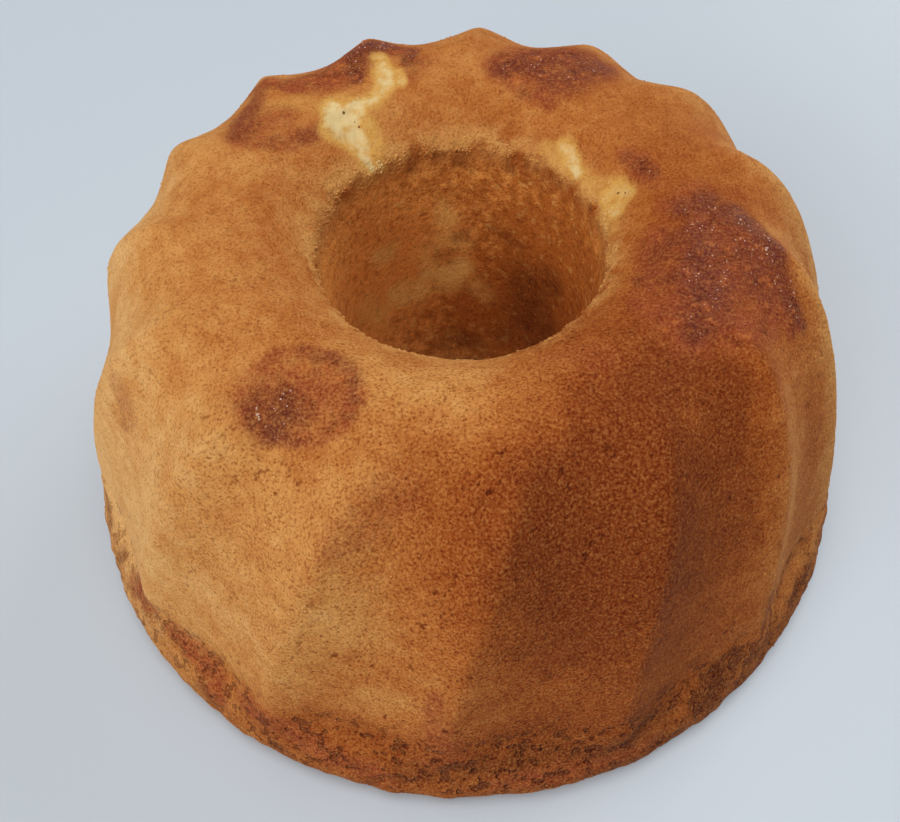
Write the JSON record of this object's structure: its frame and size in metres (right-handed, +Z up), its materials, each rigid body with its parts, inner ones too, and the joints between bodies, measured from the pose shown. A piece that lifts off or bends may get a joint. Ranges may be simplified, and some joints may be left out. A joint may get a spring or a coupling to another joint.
{
  "type": "maple coconut ring cake",
  "caption": "Tall uncut ring cake with swirled flutes, a rounded base roll and a tapered centre hole, golden to dark brown crust with pale torn crumb.",
  "frame": {"origin": "middle of the flat underside, on the axis of the centre hole", "axes": "+Z up along the axis of the centre hole, +Y towards the shoulder with the long pale torn streak, -Y the side shown in front, +X to the right of it"},
  "size_m": [0.2199, 0.2197, 0.0963],
  "materials": {
    "crust": "matte baked crust, fine grained, with a few glossy dark caramel spots"
  },
  "bodies": {
    "root": {"cake": "crust"}
  },
  "joints": []
}
